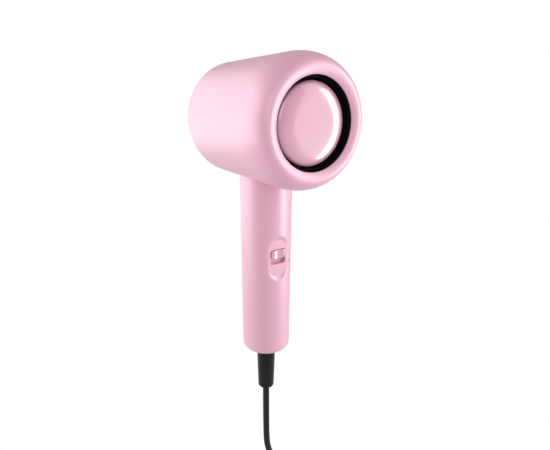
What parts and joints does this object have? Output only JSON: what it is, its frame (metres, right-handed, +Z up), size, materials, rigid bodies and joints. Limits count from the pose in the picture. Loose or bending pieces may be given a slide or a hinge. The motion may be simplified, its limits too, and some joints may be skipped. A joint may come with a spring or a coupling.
{
  "type": "hair dryer",
  "caption": "Hand-held hair dryer: a short barrel head with a rolled outlet lip and a round cap in its mouth, on a straight round handle with a slide switch in a thumb scoop and a corded lead.",
  "frame": {"origin": "on the handle's axis, 100 mm below the head's axis, where the hand closes round the handle", "axes": "+Z up along the handle to the head, -Y out of the air outlet, +X to the outlet's left as it is faced from the back"},
  "size_m": [0.0868, 0.1034, 0.4832],
  "materials": {
    "soft_pink": "soft-touch satin",
    "cap_pink": "glossy",
    "duct_black": "matt heat-resistant",
    "frame_black": "matt",
    "motor_steel": "zinc-plated",
    "screw_steel": "plain",
    "shaft_steel": "ground",
    "magnet_grey": "sintered",
    "armature_copper": "enamelled winding",
    "fan_grey": "moulded",
    "mica_tan": "laminated mica",
    "heater_wire": "oxidised",
    "mesh_steel": "woven",
    "board_green": "solder mask",
    "part_dark": "moulded",
    "lead_insulation": "silicone",
    "cord_black": "satin PVC",
    "relief_black": "satin PVC",
    "tie_black": "hook-and-loop tape",
    "pin_nickel": "nickel-plated brass"
  },
  "bodies": {
    "root": {"head_shell": "soft_pink", "handle_shell": "soft_pink", "outlet_cap": "cap_pink", "air_duct": "duct_black", "outlet_spider": "duct_black", "intake_frame": "frame_black", "handle_core": "frame_black", "fan_housing": "frame_black", "cord_clamp": "frame_black", "slide_switch": "part_dark", "ion_generator": "part_dark", "board_parts": "part_dark", "circuit_board": "board_green", "cap_screw": "screw_steel", "neck_screws": "screw_steel", "board_screws": "screw_steel", "clamp_screws": "screw_steel", "motor_can": "motor_steel", "motor_magnets": "magnet_grey", "motor_end_cap": "frame_black", "mica_sleeve": "mica_tan", "mica_board_flat": "mica_tan", "mica_board_upright": "mica_tan", "heating_coils": "heater_wire", "thermostat": "motor_steel", "thermal_fuse": "motor_steel", "ion_needle": "screw_steel", "ion_lead": "lead_insulation", "heater_leads": "lead_insulation", "motor_leads": "lead_insulation", "mains_leads": "lead_insulation", "lead_tail": "cord_black", "strain_relief": "relief_black", "cord_tube": "cord_black", "cord_coil": "cord_black", "cord_tie": "tie_black", "cord_tail": "cord_black", "plug_body": "cord_black", "plug_pins": "pin_nickel"},
    "fan": {"impeller": "fan_grey", "motor_shaft": "shaft_steel", "motor_armature": "armature_copper"},
    "filter": {"filter_cover": "soft_pink", "filter_mesh": "mesh_steel"},
    "slider": {"slider_knob": "cap_pink", "switch_stem": "part_dark"}
  },
  "joints": [
    {"name": "fan_spin", "type": "hinge", "parent": "root", "child": "fan", "pos_m": [0, 0.02, 0.1], "axis": [0, 1, 0], "continuous": true},
    {"name": "filter_pull", "type": "slide", "parent": "root", "child": "filter", "axis": [0, 1, 0], "range_m": [0, 0.03]},
    {"name": "switch_slide", "type": "slide", "parent": "root", "child": "slider", "axis": [0, 0, 1], "range_m": [-0.0042, 0]}
  ]
}
